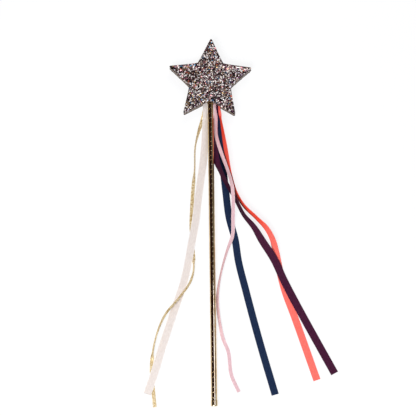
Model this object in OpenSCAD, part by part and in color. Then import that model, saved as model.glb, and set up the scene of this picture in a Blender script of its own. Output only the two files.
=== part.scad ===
// Toy magic wand: a foil-wrapped stick, a padded glitter star and six ribbons.
// It lies on its back: +Y runs along the stick to the star, +Z is up, the floor is z = 0.

/* [Star] */
// Distance from the star's middle to its points
star_r = 42; // [34:1:60]
// Distance from the star's middle to the corners between its points
star_in_r = 21.5; // [18:0.5:28]
// Radius of the rounded points
tip_round = 1.2; // [0.6:0.1:2.5]
// How far each straight edge is drawn in at its middle
edge_draw = 0.4; // [0:0.1:1.5]
// How far the star sits askew on the stick, in degrees
star_turn = 2; // [0:1:6]
// Half the thickness of the star at its edge
rim_h = 3.4; // [2.6:0.1:4.5]
// Half the thickness of the star at its middle
crown_h = 5; // [4.9:0.1:7]
// Thickness of the glitter fabric
sheet_t = 0.8; // [0.4:0.1:1.2]
// How far the foam stays back from the fabric's edge
pad_draw = 0.4; // [0.2:0.1:1]

/* [Stick] */
// Length of the whole wand, from the star's upper point to the tail
wand_l = 356; // [300:1:450]
// Diameter of the bare stick
dowel_d = 5.4; // [4:0.1:6]
// Thickness of the wound foil
foil_t = 0.15; // [0.05:0.05:0.3]
// How far the stick runs past the star's middle
stick_in = 10; // [4:1:14]
// Length of the foil cap on the tail
cap_l = 5.5; // [3:0.5:12]
// Thickness of the foil cap
cap_t = 0.15; // [0.1:0.05:0.4]

/* [Ribbons] */
// Width of the cream satin ribbon
cream_w = 7.4; // [6:0.1:7.6]
// Width of the gold lurex ribbon
gold_w = 3.4; // [2.5:0.1:3.6]
// Width of the pink satin ribbon
pink_w = 3.4; // [2.5:0.1:3.6]
// Width of the navy grosgrain ribbon
navy_w = 6.8; // [5:0.1:7]
// Width of the coral satin ribbon
coral_w = 6.8; // [5:0.1:6.9]
// Width of the plum grosgrain ribbon
plum_w = 7.2; // [6:0.1:7.4]
// Thickness of every ribbon
ribbon_t = 0.35; // [0.2:0.05:0.4]
// Length of each ribbon's end glued inside the star
end_l = 16; // [8:1:20]
// How far the glued ends reach out below the corner they leave by
mouth_drop = 6.5; // [5:0.5:9]

/* [Fits] */
// Glue line between two pieces that are stuck together
glue_gap = 0.1; // [0.05:0.05:0.2]
// Room between the stick and the layers wound round it
wrap_gap = 0.05; // [0.02:0.01:0.1]
// Gap between a ribbon's glued end and its free length
swing_gap = 0.3; // [0.3:0.05:0.6]

/* [Hidden] */
$fn = 64;

// Star outline: counts of points and of straight steps along each edge
star_points = 5;
arm_step = 360 / star_points;
edge_n = 4;
// Rings of the padded surface, as shares of the way from the middle to the edge
ring_shares = [0.25, 0.45, 0.63, 0.79, 0.91, 1];
// Share of the back that lies flat on the floor
rest_share = 0.45;
// How round the padding swells: lower is fuller
dome_power = 0.7;
// Foam left between the stick and the fabric where the stick leaves the star
skin_t = 0.6;
// Width over which the star swells around the stick there
swell_w = 8;
// What every cut runs past the surface it opens
overrun = 1;

// Radii along the stick
dowel_r = dowel_d / 2;
foil_in_r = dowel_r + wrap_gap;
foil_r = foil_in_r + foil_t;
cap_in_r = foil_r + wrap_gap;
cap_r = cap_in_r + cap_t;
channel_r = foil_r + glue_gap;

// Places in the frame
star_y = wand_l / 2 - star_r;
star_z = crown_h;
tail_l = wand_l - star_r;
notch_y = star_y - star_in_r;
mouth_y = notch_y - mouth_drop;
cover_h = channel_r + skin_t + glue_gap + sheet_t;

// The stick leans just enough for its tail to touch the floor
lean = asin(star_z / norm([tail_l, cap_r])) - atan2(cap_r, tail_l);

// Free ribbons, from the mouth below the star to their cut ends.
// Each row: across, along from the mouth, up from the floor, turn in degrees, width
cream_route = [
    [-5.35, 0, 5.2, 0, 4.1],
    [-5.3, -6, 3, 0, 4.5],
    [-4.9, -12, 1, 0, 6.2],
    [-5, -22, 0.5, 0, cream_w],
    [-6.6, -42, 0.3, 0, cream_w],
    [-13, -90, 0.8, 0, cream_w],
    [-16, -114, 0.9, 0, cream_w],
    [-19.5, -132, 1, 0, cream_w],
    [-27.5, -170, 0.3, 0, cream_w],
    [-33.5, -188, 0.3, 0, cream_w],
    [-48.3, -232, 0.5, 0, cream_w],
    [-55, -254, 0.9, 0, cream_w],
    [-62, -274, 0.8, 0, cream_w]
];
gold_route = [
    [-5.8, 0, 4.6, 0, 3.2],
    [-8.6, -12, 0.4, 0, gold_w],
    [-11.6, -22, 1.4, -45, gold_w],
    [-14.9, -36, 1.8, -72, gold_w],
    [-16, -61, 1.8, -72, gold_w],
    [-17.8, -80, 0.3, 0, gold_w],
    [-18.9, -95, 0.3, 0, gold_w],
    [-19.8, -113, 0.3, 0, gold_w],
    [-18, -146, 0.3, 0, gold_w],
    [-17.7, -153, 1.8, 68, gold_w],
    [-18.2, -160, 1.8, 64, gold_w],
    [-20.5, -168, 1.9, 50, gold_w],
    [-33, -186, 2.2, 55, gold_w],
    [-44, -199, 1.8, 50, gold_w],
    [-54.5, -224, 1.8, 65, gold_w],
    [-56.8, -236, 1.8, 60, gold_w],
    [-57.6, -244, 0.3, 0, gold_w],
    [-58, -252, 0.3, 0, gold_w],
    [-57.2, -262, 0.3, 0, gold_w],
    [-55, -286, 0.3, 0, gold_w]
];
pink_route = [
    [4.3, 0, 6, 0, 2.4],
    [5, -8, 4.6, 0, pink_w],
    [5.2, -26, 1.9, 0, pink_w],
    [8.9, -41, 2.4, 10, pink_w],
    [15.5, -61, 4.8, 35, pink_w],
    [18.3, -71, 7, 40, pink_w],
    [20, -81, 9, 15, pink_w],
    [20.5, -91, 8.4, 0, pink_w],
    [20.2, -108, 3.5, 0, pink_w],
    [19.3, -126, 1.2, 0, pink_w],
    [14.5, -139, 1.5, 45, pink_w],
    [7.6, -163, 1.7, 60, pink_w],
    [4.5, -182, 1.5, 45, pink_w],
    [6, -208, 1.3, 40, pink_w],
    [9.5, -225, 0.7, 15, pink_w],
    [13.2, -234, 0.4, 0, pink_w],
    [16.5, -258, 0.3, 0, pink_w],
    [23, -273, 0.3, 0, pink_w]
];
navy_route = [
    [5.6, 0, 4.3, 0, 4.4],
    [6.3, -8, 2, 0, 5],
    [6.8, -18, 0.4, 0, navy_w],
    [10.4, -48, 0.3, 0, navy_w],
    [13.6, -81, 0.3, 0, navy_w],
    [16.6, -108, 0.3, 0, navy_w],
    [22, -130, 0.3, 0, navy_w],
    [24.5, -149, 0.3, 0, navy_w],
    [31.1, -178, 0.3, 0, navy_w],
    [42.7, -225, 0.3, 0, navy_w],
    [56.6, -276, 0.3, 0, navy_w]
];
coral_route = [
    [8.7, 0, 5, 0, 2.2],
    [9.9, -11, 4.6, 76, 5],
    [11.8, -24, 4.1, 71, coral_w],
    [14.3, -41, 3.8, 62, coral_w],
    [19.5, -71, 3.4, 69, coral_w],
    [23, -83, 3.5, 71, coral_w],
    [30, -96, 3.5, 73, coral_w],
    [42.5, -109, 3.5, 71, coral_w],
    [52.5, -120, 3.1, 56, coral_w],
    [57.5, -130, 2.7, 46, coral_w],
    [60.5, -143, 1.5, 21, coral_w],
    [63.3, -158, 0.3, 0, coral_w],
    [67.8, -178, 0.3, 0, coral_w],
    [76.2, -203, 0.3, 0, coral_w],
    [95.7, -263, 0.3, 0, coral_w]
];
plum_route = [
    [5.3, 0, 5.4, 0, 3.9],
    [5.2, -8, 2.5, 0, 4.2],
    [4.2, -18, 0.9, 0, 6.2],
    [3.2, -42, 0.9, 0, plum_w],
    [5.2, -52, 3, 35, plum_w],
    [9, -63, 4.2, 62, plum_w],
    [24, -93, 3.9, 70, plum_w],
    [30.5, -106, 3.6, 68, plum_w],
    [40, -118, 3.1, 52, plum_w],
    [47, -130, 2.1, 28, plum_w],
    [58.5, -149, 1.6, 10, plum_w],
    [67.3, -169, 0.9, 0, plum_w],
    [79, -193, 0.8, 0, plum_w],
    [89.3, -213, 0.4, 0, plum_w],
    [112.3, -257, 0.3, 0, plum_w]
];
roots = [for (r = [cream_route, gold_route, pink_route, navy_route, coral_route, plum_route]) r[0]];

// Corners of a ribbon's section, as shares of half its width and half its thickness.
// The woven edges are a little thinner than the middle.
section_shares = [
    [1, -0.6], [1, 0.6], [0.4, 1], [-0.4, 1], [-1, 0.6], [-1, -0.6], [-0.4, -1], [0.4, -1]
];

function polar(r, a) = [r * cos(a), r * sin(a)];

// Star outline, counter-clockwise from the upper point
tip_half = atan2(star_in_r * sin(arm_step / 2), star_r - star_in_r * cos(arm_step / 2));
tip_span = 90 - tip_half;
function tip_point(arm, bend) = polar(star_r - tip_round, arm) + polar(tip_round, arm + bend);
function notch_point(arm) = polar(star_in_r, arm + arm_step / 2);
function drawn_in(p, q, share) =
    let (m = p + (q - p) * share)
    m - m / norm(m) * edge_draw * sin(180 * share);
function edge_points(p, q) = [for (j = [1 : edge_n - 1]) drawn_in(p, q, j / edge_n)];
outline = [
    for (i = [0 : star_points - 1])
        let (arm = 90 + arm_step * i, notch = notch_point(arm))
        each concat(
            [for (bend = [-tip_span, 0, tip_span]) tip_point(arm, bend)],
            edge_points(tip_point(arm, tip_span), notch),
            [notch],
            edge_points(notch, tip_point(arm + arm_step, -tip_span))
        )
];
outline_n = len(outline);
ring_n = len(ring_shares);

// The edge is thicker at the corner where the stick comes out
stick_notch = [0, -star_in_r];
function edge_swell(p) = max(0, 1 - pow(norm(p - stick_notch) / swell_w, 2));
rims = [for (p = outline) rim_h + (cover_h - rim_h) * edge_swell(p)];
function dome(share, rest) =
    share <= rest ? 1 : pow(1 - pow((share - rest) / (1 - rest), 2), dome_power);
function swelling(share, k, rest) = rims[k] + (crown_h - rims[k]) * dome(share, rest);

// One padded surface: its middle first, then ring by ring to the edge
function dome_points(spread, rest, drop) = concat(
    [[0, 0, crown_h - drop]],
    [for (s = ring_shares, k = [0 : outline_n - 1])
        let (p = outline[k] * s * spread)
        [p.x, p.y, swelling(s, k, rest) - drop]]
);
function ring_at(ring, k) = 1 + ring * outline_n + k % outline_n;
dome_faces = concat(
    [for (k = [0 : outline_n - 1]) [0, ring_at(0, k + 1), ring_at(0, k)]],
    [for (r = [0 : ring_n - 2], k = [0 : outline_n - 1]) each [
        [ring_at(r, k), ring_at(r, k + 1), ring_at(r + 1, k + 1)],
        [ring_at(r, k), ring_at(r + 1, k + 1), ring_at(r + 1, k)]
    ]]
);
function flipped(faces, first) = [for (f = faces) [f[2], f[1], f[0]] + [first, first, first]];

// Star frame: middle of the star, turned askew
module on_star() {
    translate([0, star_y, star_z])
        rotate([0, 0, -star_turn])
            children();
}

// Stick frame: the star's middle, with the tail leaning down along -Y
module on_stick() {
    translate([0, star_y, star_z])
        rotate([lean, 0, 0])
            rotate([90, 0, 0])
                children();
}

module padded_sheet(rest) {
    top = dome_points(1, rest, 0);
    under = dome_points(1, rest, sheet_t);
    first = len(top);
    last = ring_n - 1;
    edge = [for (k = [0 : outline_n - 1]) each [
        [ring_at(last, k), ring_at(last, k + 1), ring_at(last, k + 1) + first],
        [ring_at(last, k), ring_at(last, k + 1) + first, ring_at(last, k) + first]
    ]];
    polyhedron(concat(top, under), concat(dome_faces, flipped(dome_faces, first), edge));
}

module padded_half(rest) {
    spread = 1 - pad_draw / star_in_r;
    top = dome_points(spread, rest, sheet_t + glue_gap);
    foot_z = glue_gap / 2;
    foot = concat([[0, 0, foot_z]], [for (p = outline * spread) [p.x, p.y, foot_z]]);
    first = len(top);
    last = ring_n - 1;
    function foot_at(k) = first + 1 + k % outline_n;
    wall = [for (k = [0 : outline_n - 1]) each [
        [ring_at(last, k), ring_at(last, k + 1), foot_at(k + 1)],
        [ring_at(last, k), foot_at(k + 1), foot_at(k)]
    ]];
    sole = [for (k = [0 : outline_n - 1]) [first, foot_at(k), foot_at(k + 1)]];
    polyhedron(concat(top, foot), concat(dome_faces, wall, sole));
}

// Channel for the stick and pocket for the glued ribbon ends
module star_cuts() {
    on_stick()
        translate([0, 0, -stick_in - glue_gap])
            cylinder(r = channel_r, h = stick_in + glue_gap + star_r);
    left = min([for (r = roots) r[0] - r[4] / 2]) - glue_gap;
    right = max([for (r = roots) r[0] + r[4] / 2]) + glue_gap;
    low = min([for (r = roots) r[2]]) - ribbon_t / 2 - glue_gap;
    high = max([for (r = roots) r[2]]) + ribbon_t / 2 + glue_gap;
    translate([left, mouth_y - overrun, low])
        cube([right - left, overrun + end_l + glue_gap, high - low]);
}

module star_front_sheet() {
    color("#b7a9a6")
        on_star()
            padded_sheet(0);
}

module star_back_sheet() {
    color("#a79a98")
        on_star()
            mirror([0, 0, 1])
                padded_sheet(rest_share);
}

module star_front_pad() {
    color("#8d7a68")
        difference() {
            on_star()
                padded_half(0);
            star_cuts();
        }
}

module star_back_pad() {
    color("#806e5e")
        difference() {
            on_star()
                mirror([0, 0, 1])
                    padded_half(rest_share);
            star_cuts();
        }
}

module dowel() {
    color("#c9a878")
        on_stick()
            translate([0, 0, -stick_in])
                cylinder(r = dowel_r, h = stick_in + tail_l - cap_t - wrap_gap);
}

module foil_wrap() {
    length = stick_in + tail_l - cap_t - wrap_gap;
    color("#c8a24e")
        on_stick()
            translate([0, 0, -stick_in])
                difference() {
                    cylinder(r = foil_r, h = length);
                    translate([0, 0, -overrun])
                        cylinder(r = foil_in_r, h = length + overrun + overrun);
                }
}

module tail_cap() {
    color("#dcb65c")
        on_stick()
            translate([0, 0, tail_l - cap_l])
                difference() {
                    cylinder(r = cap_r, h = cap_l);
                    translate([0, 0, -overrun])
                        cylinder(r = cap_in_r, h = cap_l - cap_t + overrun);
                }
}

// The stretch of a ribbon that is glued between the star's halves
module ribbon_end(root) {
    translate([root[0] - root[4] / 2, mouth_y, root[2] - ribbon_t / 2])
        cube([root[4], end_l, ribbon_t]);
}

// The free stretch: a flat section swept along the route, turned as each row says
module ribbon(route) {
    start = [route[0][0], mouth_y - swing_gap, route[0][2]];
    mids = [for (i = [0 : len(route) - 1])
        i == 0 ? start : [route[i][0], mouth_y + route[i][1], route[i][2]]];
    last = len(route) - 1;
    sides = len(section_shares);
    function unit(v) = v / norm(v);
    function ahead(i) = i == 0 ? [0, -1, 0] : unit(mids[min(i + 1, last)] - mids[i - 1]);
    function corners(i) =
        let (
            t = ahead(i),
            level = unit([-t.y, t.x, 0]),
            rise = cross(t, level),
            turn = route[i][3],
            across = (level * cos(turn) + rise * sin(turn)) * route[i][4] / 2,
            through = (rise * cos(turn) - level * sin(turn)) * ribbon_t / 2
        )
        [for (c = section_shares) mids[i] + across * c[0] + through * c[1]];
    function at(i, k) = i * sides + k % sides;
    // Upper and lower faces are split along the same diagonal, so a twist stays evenly thick
    sweep = [for (i = [0 : last - 1], k = [0 : sides - 1]) each k < sides / 2
        ? [[at(i, k), at(i + 1, k), at(i + 1, k + 1)], [at(i, k), at(i + 1, k + 1), at(i, k + 1)]]
        : [[at(i, k), at(i + 1, k), at(i, k + 1)], [at(i, k + 1), at(i + 1, k), at(i + 1, k + 1)]]
    ];
    caps = [for (k = [1 : sides - 2]) each [
        [at(0, 0), at(0, k), at(0, k + 1)],
        [at(last, 0), at(last, k + 1), at(last, k)]
    ]];
    polyhedron([for (i = [0 : last]) each corners(i)], concat(sweep, caps));
}

module cream_end() { color("#efe4dc") ribbon_end(cream_route[0]); }
module gold_end() { color("#d4bb86") ribbon_end(gold_route[0]); }
module pink_end() { color("#e9c3c6") ribbon_end(pink_route[0]); }
module navy_end() { color("#1e2d4b") ribbon_end(navy_route[0]); }
module coral_end() { color("#ff7466") ribbon_end(coral_route[0]); }
module plum_end() { color("#4b1c37") ribbon_end(plum_route[0]); }

module cream_ribbon() { color("#efe4dc") ribbon(cream_route); }
module gold_ribbon() { color("#d4bb86") ribbon(gold_route); }
module pink_ribbon() { color("#e9c3c6") ribbon(pink_route); }
module navy_ribbon() { color("#1e2d4b") ribbon(navy_route); }
module coral_ribbon() { color("#ff7466") ribbon(coral_route); }
module plum_ribbon() { color("#4b1c37") ribbon(plum_route); }

star_front_sheet();
star_back_sheet();
star_front_pad();
star_back_pad();
dowel();
foil_wrap();
tail_cap();
cream_end();
gold_end();
pink_end();
navy_end();
coral_end();
plum_end();
cream_ribbon();
gold_ribbon();
pink_ribbon();
navy_ribbon();
coral_ribbon();
plum_ribbon();
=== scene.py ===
import math
import random
import bmesh
import bpy
from mathutils import Matrix, Vector, noise
from mathutils.bvhtree import BVHTree


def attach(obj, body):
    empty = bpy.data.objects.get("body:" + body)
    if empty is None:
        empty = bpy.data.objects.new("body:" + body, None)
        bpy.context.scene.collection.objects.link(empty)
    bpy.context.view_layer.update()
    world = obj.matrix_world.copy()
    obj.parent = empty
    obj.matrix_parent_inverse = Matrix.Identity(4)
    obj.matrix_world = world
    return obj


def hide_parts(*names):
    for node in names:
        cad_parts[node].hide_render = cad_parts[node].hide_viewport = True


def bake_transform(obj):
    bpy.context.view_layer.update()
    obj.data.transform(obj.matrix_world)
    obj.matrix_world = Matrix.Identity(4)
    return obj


# Toy magic wand: padded glitter star, foil-wound stick, six ribbons. Sizes are in mm until placed.
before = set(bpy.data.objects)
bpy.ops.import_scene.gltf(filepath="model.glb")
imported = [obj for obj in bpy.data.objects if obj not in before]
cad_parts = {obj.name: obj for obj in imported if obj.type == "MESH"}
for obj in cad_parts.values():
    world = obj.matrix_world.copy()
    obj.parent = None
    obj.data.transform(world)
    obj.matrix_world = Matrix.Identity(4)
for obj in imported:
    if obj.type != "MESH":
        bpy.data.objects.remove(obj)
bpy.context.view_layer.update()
scene = bpy.context.scene
scene.view_settings.view_transform = "Standard"
mm = 0.001
print("frame loaded:", len(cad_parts), "solids")

# camera, at the photograph's angle
viewCamera = {
    "target": (-3.58, 9.9, 0), "distance": 1100, "elevation": 77.78, "roll": -0.7,
    "focalPixels": 1146.4, "picturePixels": 416, "sensor": 36,
}


def placeCamera(spec):
    data = bpy.data.cameras.new("viewCamera")
    data.sensor_width = spec["sensor"]
    data.lens = spec["focalPixels"] / spec["picturePixels"] * spec["sensor"]
    camera = bpy.data.objects.new("viewCamera", data)
    scene.collection.objects.link(camera)
    rise = math.radians(spec["elevation"])
    back = Vector((0, -math.cos(rise), math.sin(rise)))
    place = (Vector(spec["target"]) + back * spec["distance"]) * mm
    turn = Matrix.Rotation(math.pi / 2 - rise, 4, "X") @ Matrix.Rotation(math.radians(spec["roll"]), 4, "Z")
    camera.matrix_world = Matrix.Translation(place) @ turn
    scene.camera = camera


placeCamera(viewCamera)


# node helpers
def linear(code):
    parts = [int(code[i:i + 2], 16) / 255 for i in (0, 2, 4)]
    return tuple(p / 12.92 if p <= 0.04045 else ((p + 0.055) / 1.055) ** 2.4 for p in parts) + (1.0,)


def put(tree, kind, inputs=None, **fields):
    made = tree.nodes.new(kind)
    for key, value in fields.items():
        setattr(made, key, value)
    for key, value in (inputs or {}).items():
        if isinstance(value, bpy.types.NodeSocket):
            tree.links.new(value, made.inputs[key])
        else:
            made.inputs[key].default_value = value
    return made


def calc(tree, operation, *values, clamp=False):
    made = put(tree, "ShaderNodeMath", dict(enumerate(values)), operation=operation, use_clamp=clamp)
    return made.outputs[0]


def mixed(tree, factor, a, b):
    return put(tree, "ShaderNodeMix", {0: factor, 6: a, 7: b}, data_type="RGBA").outputs[2]


def spanned(tree, value, low, high, outLow=0.0, outHigh=1.0):
    made = put(tree, "ShaderNodeMapRange", {0: value, 1: low, 2: high, 3: outLow, 4: outHigh})
    made.interpolation_type = "SMOOTHSTEP"
    return made.outputs[0]


def ramp(tree, factor, stops, how="LINEAR"):
    made = put(tree, "ShaderNodeValToRGB", {0: factor})
    made.color_ramp.interpolation = how
    elements = made.color_ramp.elements
    elements.remove(elements[1])
    elements[0].position, elements[0].color = stops[0]
    for place, colour in stops[1:]:
        elements.new(place).color = colour
    return made.outputs[0]


def toneStops(pairs):
    return [(stop, linear(code)) for stop, code in pairs]


def newFinish(name, sockets):
    material = bpy.data.materials.new(name)
    material.use_nodes = True
    shader = material.node_tree.nodes["Principled BSDF"]
    for key, value in sockets.items():
        shader.inputs[key].default_value = value
    return material, material.node_tree, shader


def linkBump(tree, shader, strength, depth, height):
    bump = put(tree, "ShaderNodeBump", {"Strength": strength, "Distance": depth * mm, "Height": height})
    tree.links.new(bump.outputs[0], shader.inputs["Normal"])


def newGroup(name, inputs, outputs):
    tree = bpy.data.node_groups.new(name, "ShaderNodeTree")
    for label, value in inputs.items():
        socket = tree.interface.new_socket(name=label, in_out="INPUT", socket_type="NodeSocketFloat")
        socket.default_value = value
    for label in outputs:
        tree.interface.new_socket(name=label, in_out="OUTPUT", socket_type="NodeSocketFloat")
    return tree, tree.nodes.new("NodeGroupInput").outputs, tree.nodes.new("NodeGroupOutput").inputs


def useGroup(tree, group, values):
    made = put(tree, "ShaderNodeGroup", node_tree=group)
    for key, value in values.items():
        made.inputs[key].default_value = value
    return made.outputs


# mesh helpers
def faceUp(bm):
    bmesh.ops.recalc_face_normals(bm, faces=bm.faces[:])
    if sum(f.normal.z for f in bm.faces) < 0:
        bmesh.ops.reverse_faces(bm, faces=bm.faces[:])


def newPiece(name, bm, finish, sharpAngle):
    mesh = bpy.data.meshes.new(name)
    bm.to_mesh(mesh)
    bm.free()
    mesh.shade_smooth()
    mesh.set_sharp_from_angle(angle=math.radians(sharpAngle))
    mesh.materials.append(finish)
    piece = bpy.data.objects.new(name, mesh)
    scene.collection.objects.link(piece)
    return piece


def addPiece(name, bm, finish, nodes, sharpAngle=40):
    piece = newPiece(name, bm, finish, sharpAngle)
    if nodes:
        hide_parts(*nodes)
    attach(piece, "wand")
    return piece


# woven ribs, threads, woven edge and uneven dye, on a ribbon's own map in mm
ribbonCloth = {"edgeSharpness": 6.0, "mottleStretch": 0.35, "mottleScale": 0.9, "mottleRough": 0.65,
               "mottleSpan": (0.25, 0.75), "leanSpan": (0.3, 0.75)}


def weaveGroup():
    tree, given, out = newGroup(
        "ribbonWeave", {"Rib Pitch": 0.5, "Thread Pitch": 0.3, "Half Width": 3.0, "Edge Width": 0.5},
        ["Ribs", "Threads", "Edge", "Mottle"])
    ribbonMap = put(tree, "ShaderNodeUVMap", uv_map="weave").outputs[0]
    across, along = put(tree, "ShaderNodeSeparateXYZ", {0: ribbonMap}).outputs[:2]
    for label, place, pitch in (("Ribs", along, "Rib Pitch"), ("Threads", across, "Thread Pitch")):
        turns = calc(tree, "MULTIPLY", calc(tree, "DIVIDE", place, given[pitch]), math.tau)
        wave = calc(tree, "MULTIPLY_ADD", calc(tree, "SINE", turns), 0.5, 0.5)
        tree.links.new(wave, out[label])
    inner = calc(tree, "SUBTRACT", given["Half Width"], given["Edge Width"])
    reach = calc(tree, "SUBTRACT", calc(tree, "ABSOLUTE", across), inner)
    tree.links.new(calc(tree, "MULTIPLY", reach, ribbonCloth["edgeSharpness"], clamp=True), out["Edge"])
    stretched = calc(tree, "MULTIPLY", along, ribbonCloth["mottleStretch"])
    cloud = put(tree, "ShaderNodeTexNoise", {
        "Vector": put(tree, "ShaderNodeCombineXYZ", {0: across, 1: stretched}).outputs[0],
        "Scale": ribbonCloth["mottleScale"], "Detail": 4.0, "Roughness": ribbonCloth["mottleRough"]})
    tree.links.new(cloud.outputs[0], out["Mottle"])
    return tree


ribbonWeave = weaveGroup()


# painted shading where a ribbon is turned on edge: a darker, deeper tone on most ribbons, a paler painted
# light on the gold
def paintTurnShading(tree, dye, spec):
    lean = put(tree, "ShaderNodeAttribute", attribute_name="lean").outputs["Fac"]
    paintedTurnShading = calc(tree, "MULTIPLY", spanned(tree, lean, *ribbonCloth["leanSpan"]), spec["paintedTurnShadingShare"])
    return mixed(tree, paintedTurnShading, dye, linear(spec["paintedTurnShading"]))


satin = {"threadPitch": 0.32, "sheenRough": 0.35, "roughSpread": 0.18,
         "ribLay": 0.7, "threadLay": 0.3, "edgeLay": 0.8, "bumpDepth": 0.06}


def satinFinish(name, spec):
    material, tree, shader = newFinish(name, {
        "Sheen Weight": spec["sheen"], "Sheen Roughness": satin["sheenRough"],
        "Specular IOR Level": spec["gloss"]})
    weave = useGroup(tree, ribbonWeave, {
        "Rib Pitch": spec["ribPitch"], "Thread Pitch": satin["threadPitch"],
        "Half Width": spec["width"] / 2, "Edge Width": spec["edgeWidth"]})
    mottle = spanned(tree, weave["Mottle"], *ribbonCloth["mottleSpan"])
    dye = mixed(tree, mottle, linear(spec["deep"]), linear(spec["dye"]))
    dye = mixed(tree, calc(tree, "MULTIPLY", weave["Ribs"], spec["ribShade"]), dye, linear(spec["deep"]))
    dye = mixed(tree, calc(tree, "MULTIPLY", weave["Edge"], spec["edgeShade"]), dye, linear(spec["edge"]))
    tree.links.new(paintTurnShading(tree, dye, spec), shader.inputs["Base Color"])
    rough = calc(tree, "MULTIPLY_ADD", weave["Mottle"], satin["roughSpread"], spec["rough"])
    tree.links.new(rough, shader.inputs["Roughness"])
    lay = calc(tree, "MULTIPLY", weave["Ribs"], satin["ribLay"])
    lay = calc(tree, "MULTIPLY_ADD", weave["Threads"], satin["threadLay"], lay)
    lay = calc(tree, "MULTIPLY_ADD", weave["Edge"], satin["edgeLay"], lay)
    linkBump(tree, shader, spec["bump"], satin["bumpDepth"], lay)
    return material


def lurexFinish(name, spec):
    material, tree, shader = newFinish(name, {"Specular IOR Level": spec["gloss"]})
    weave = useGroup(tree, ribbonWeave, {
        "Rib Pitch": spec["ribPitch"], "Thread Pitch": spec["threadPitch"],
        "Half Width": spec["width"] / 2, "Edge Width": spec["edgeWidth"]})
    place = put(tree, "ShaderNodeUVMap", uv_map="weave").outputs[0]
    grains = put(tree, "ShaderNodeTexVoronoi", {"Vector": place, "Scale": 1 / spec["grain"]})
    pick = put(tree, "ShaderNodeSeparateColor", {0: grains.outputs["Color"]}).outputs
    # grain tones: the thread's own uneven gold, and the palest stop is a painted glint
    gold = ramp(tree, pick[0], toneStops(spec["grainTonesAndGlints"]))
    gold = mixed(tree, calc(tree, "MULTIPLY", weave["Ribs"], spec["ribShade"]), gold, linear(spec["deep"]))
    tree.links.new(paintTurnShading(tree, gold, spec), shader.inputs["Base Color"])
    metal = calc(tree, "MULTIPLY_ADD", pick[1], spec["metalSpread"], spec["metal"])
    tree.links.new(metal, shader.inputs["Metallic"])
    rough = calc(tree, "MULTIPLY_ADD", pick[2], spec["roughSpread"], spec["rough"])
    tree.links.new(rough, shader.inputs["Roughness"])
    linkBump(tree, shader, spec["bump"], spec["bumpDepth"], calc(tree, "ADD", pick[1], weave["Ribs"]))
    return material


# a curve through a ribbon's rows; a gentle one never swings past a row
def runThrough(stations, values, gentle):
    steps = [(b - a) / (t - s) for a, b, s, t in zip(values, values[1:], stations, stations[1:])]
    slopes = [steps[0]]
    for i in range(1, len(steps)):
        before, after = steps[i - 1], steps[i]
        short, long = stations[i] - stations[i - 1], stations[i + 1] - stations[i]
        if gentle:
            slopes.append(0 if before * after <= 0 else 2 * before * after / (before + after))
        else:
            slopes.append((before * long + after * short) / (short + long))
    slopes.append(steps[-1])

    def at(place):
        i = 0
        while i < len(steps) - 1 and place > stations[i + 1]:
            i += 1
        span = stations[i + 1] - stations[i]
        t = (place - stations[i]) / span
        return (values[i] * (1 + 2 * t) * (1 - t) ** 2 + slopes[i] * span * t * (1 - t) ** 2
                + values[i + 1] * t * t * (3 - 2 * t) + slopes[i + 1] * span * t * t * (t - 1))
    return at


ribbonStock = {"mouthY": 108, "gluedLength": 15, "thickness": 0.35, "floorRoom": 0.02,
               "edgePower": 4, "lookAhead": 0.4, "sharpAngle": 50, "bendSpan": (4, -22)}


# rings of a ribbon: middle, across, through, width, cup and station
def ribbonRings(spec):
    x, _, z, turn, width = spec["rows"][0]
    glued = ribbonStock["gluedLength"]
    rows = [(x, stay, z, turn, width) for stay in (glued, glued / 2)] + spec["rows"]
    cups = [0, 0] + [spec["cups"].get(row[1], 0) for row in spec["rows"]]
    mids = [Vector((r[0], ribbonStock["mouthY"] + r[1], r[2])) for r in rows]
    stations = [0.0]
    for a, b in zip(mids, mids[1:]):
        stations.append(stations[-1] + (b - a).length)
    runs = [runThrough(stations, [m[k] for m in mids], k == 2) for k in range(3)]
    turnAt = runThrough(stations, [r[3] for r in rows], True)
    widthAt = runThrough(stations, [r[4] for r in rows], True)
    cupAt = runThrough(stations, cups, True)
    total, half, step = stations[-1], ribbonStock["thickness"] / 2, ribbonStock["lookAhead"]
    count = round(total / spec["ringStep"])

    def middle(place):
        point = Vector([run(place) for run in runs])
        lean = abs(math.sin(math.radians(turnAt(place)))) * widthAt(place) / 2
        point.z = max(point.z, lean + half + ribbonStock["floorRoom"])
        return point

    rings = []
    for k in range(count + 1):
        place = total * k / count
        ahead = (middle(min(place + step, total)) - middle(max(place - step, 0))).normalized()
        level = Vector((-ahead.y, ahead.x, 0)).normalized()
        rise = ahead.cross(level)
        angle = math.radians(turnAt(place))
        across = level * math.cos(angle) + rise * math.sin(angle)
        through = rise * math.cos(angle) - level * math.sin(angle)
        rings.append((middle(place), across, through, widthAt(place), cupAt(place), place))
    return rings


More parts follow.
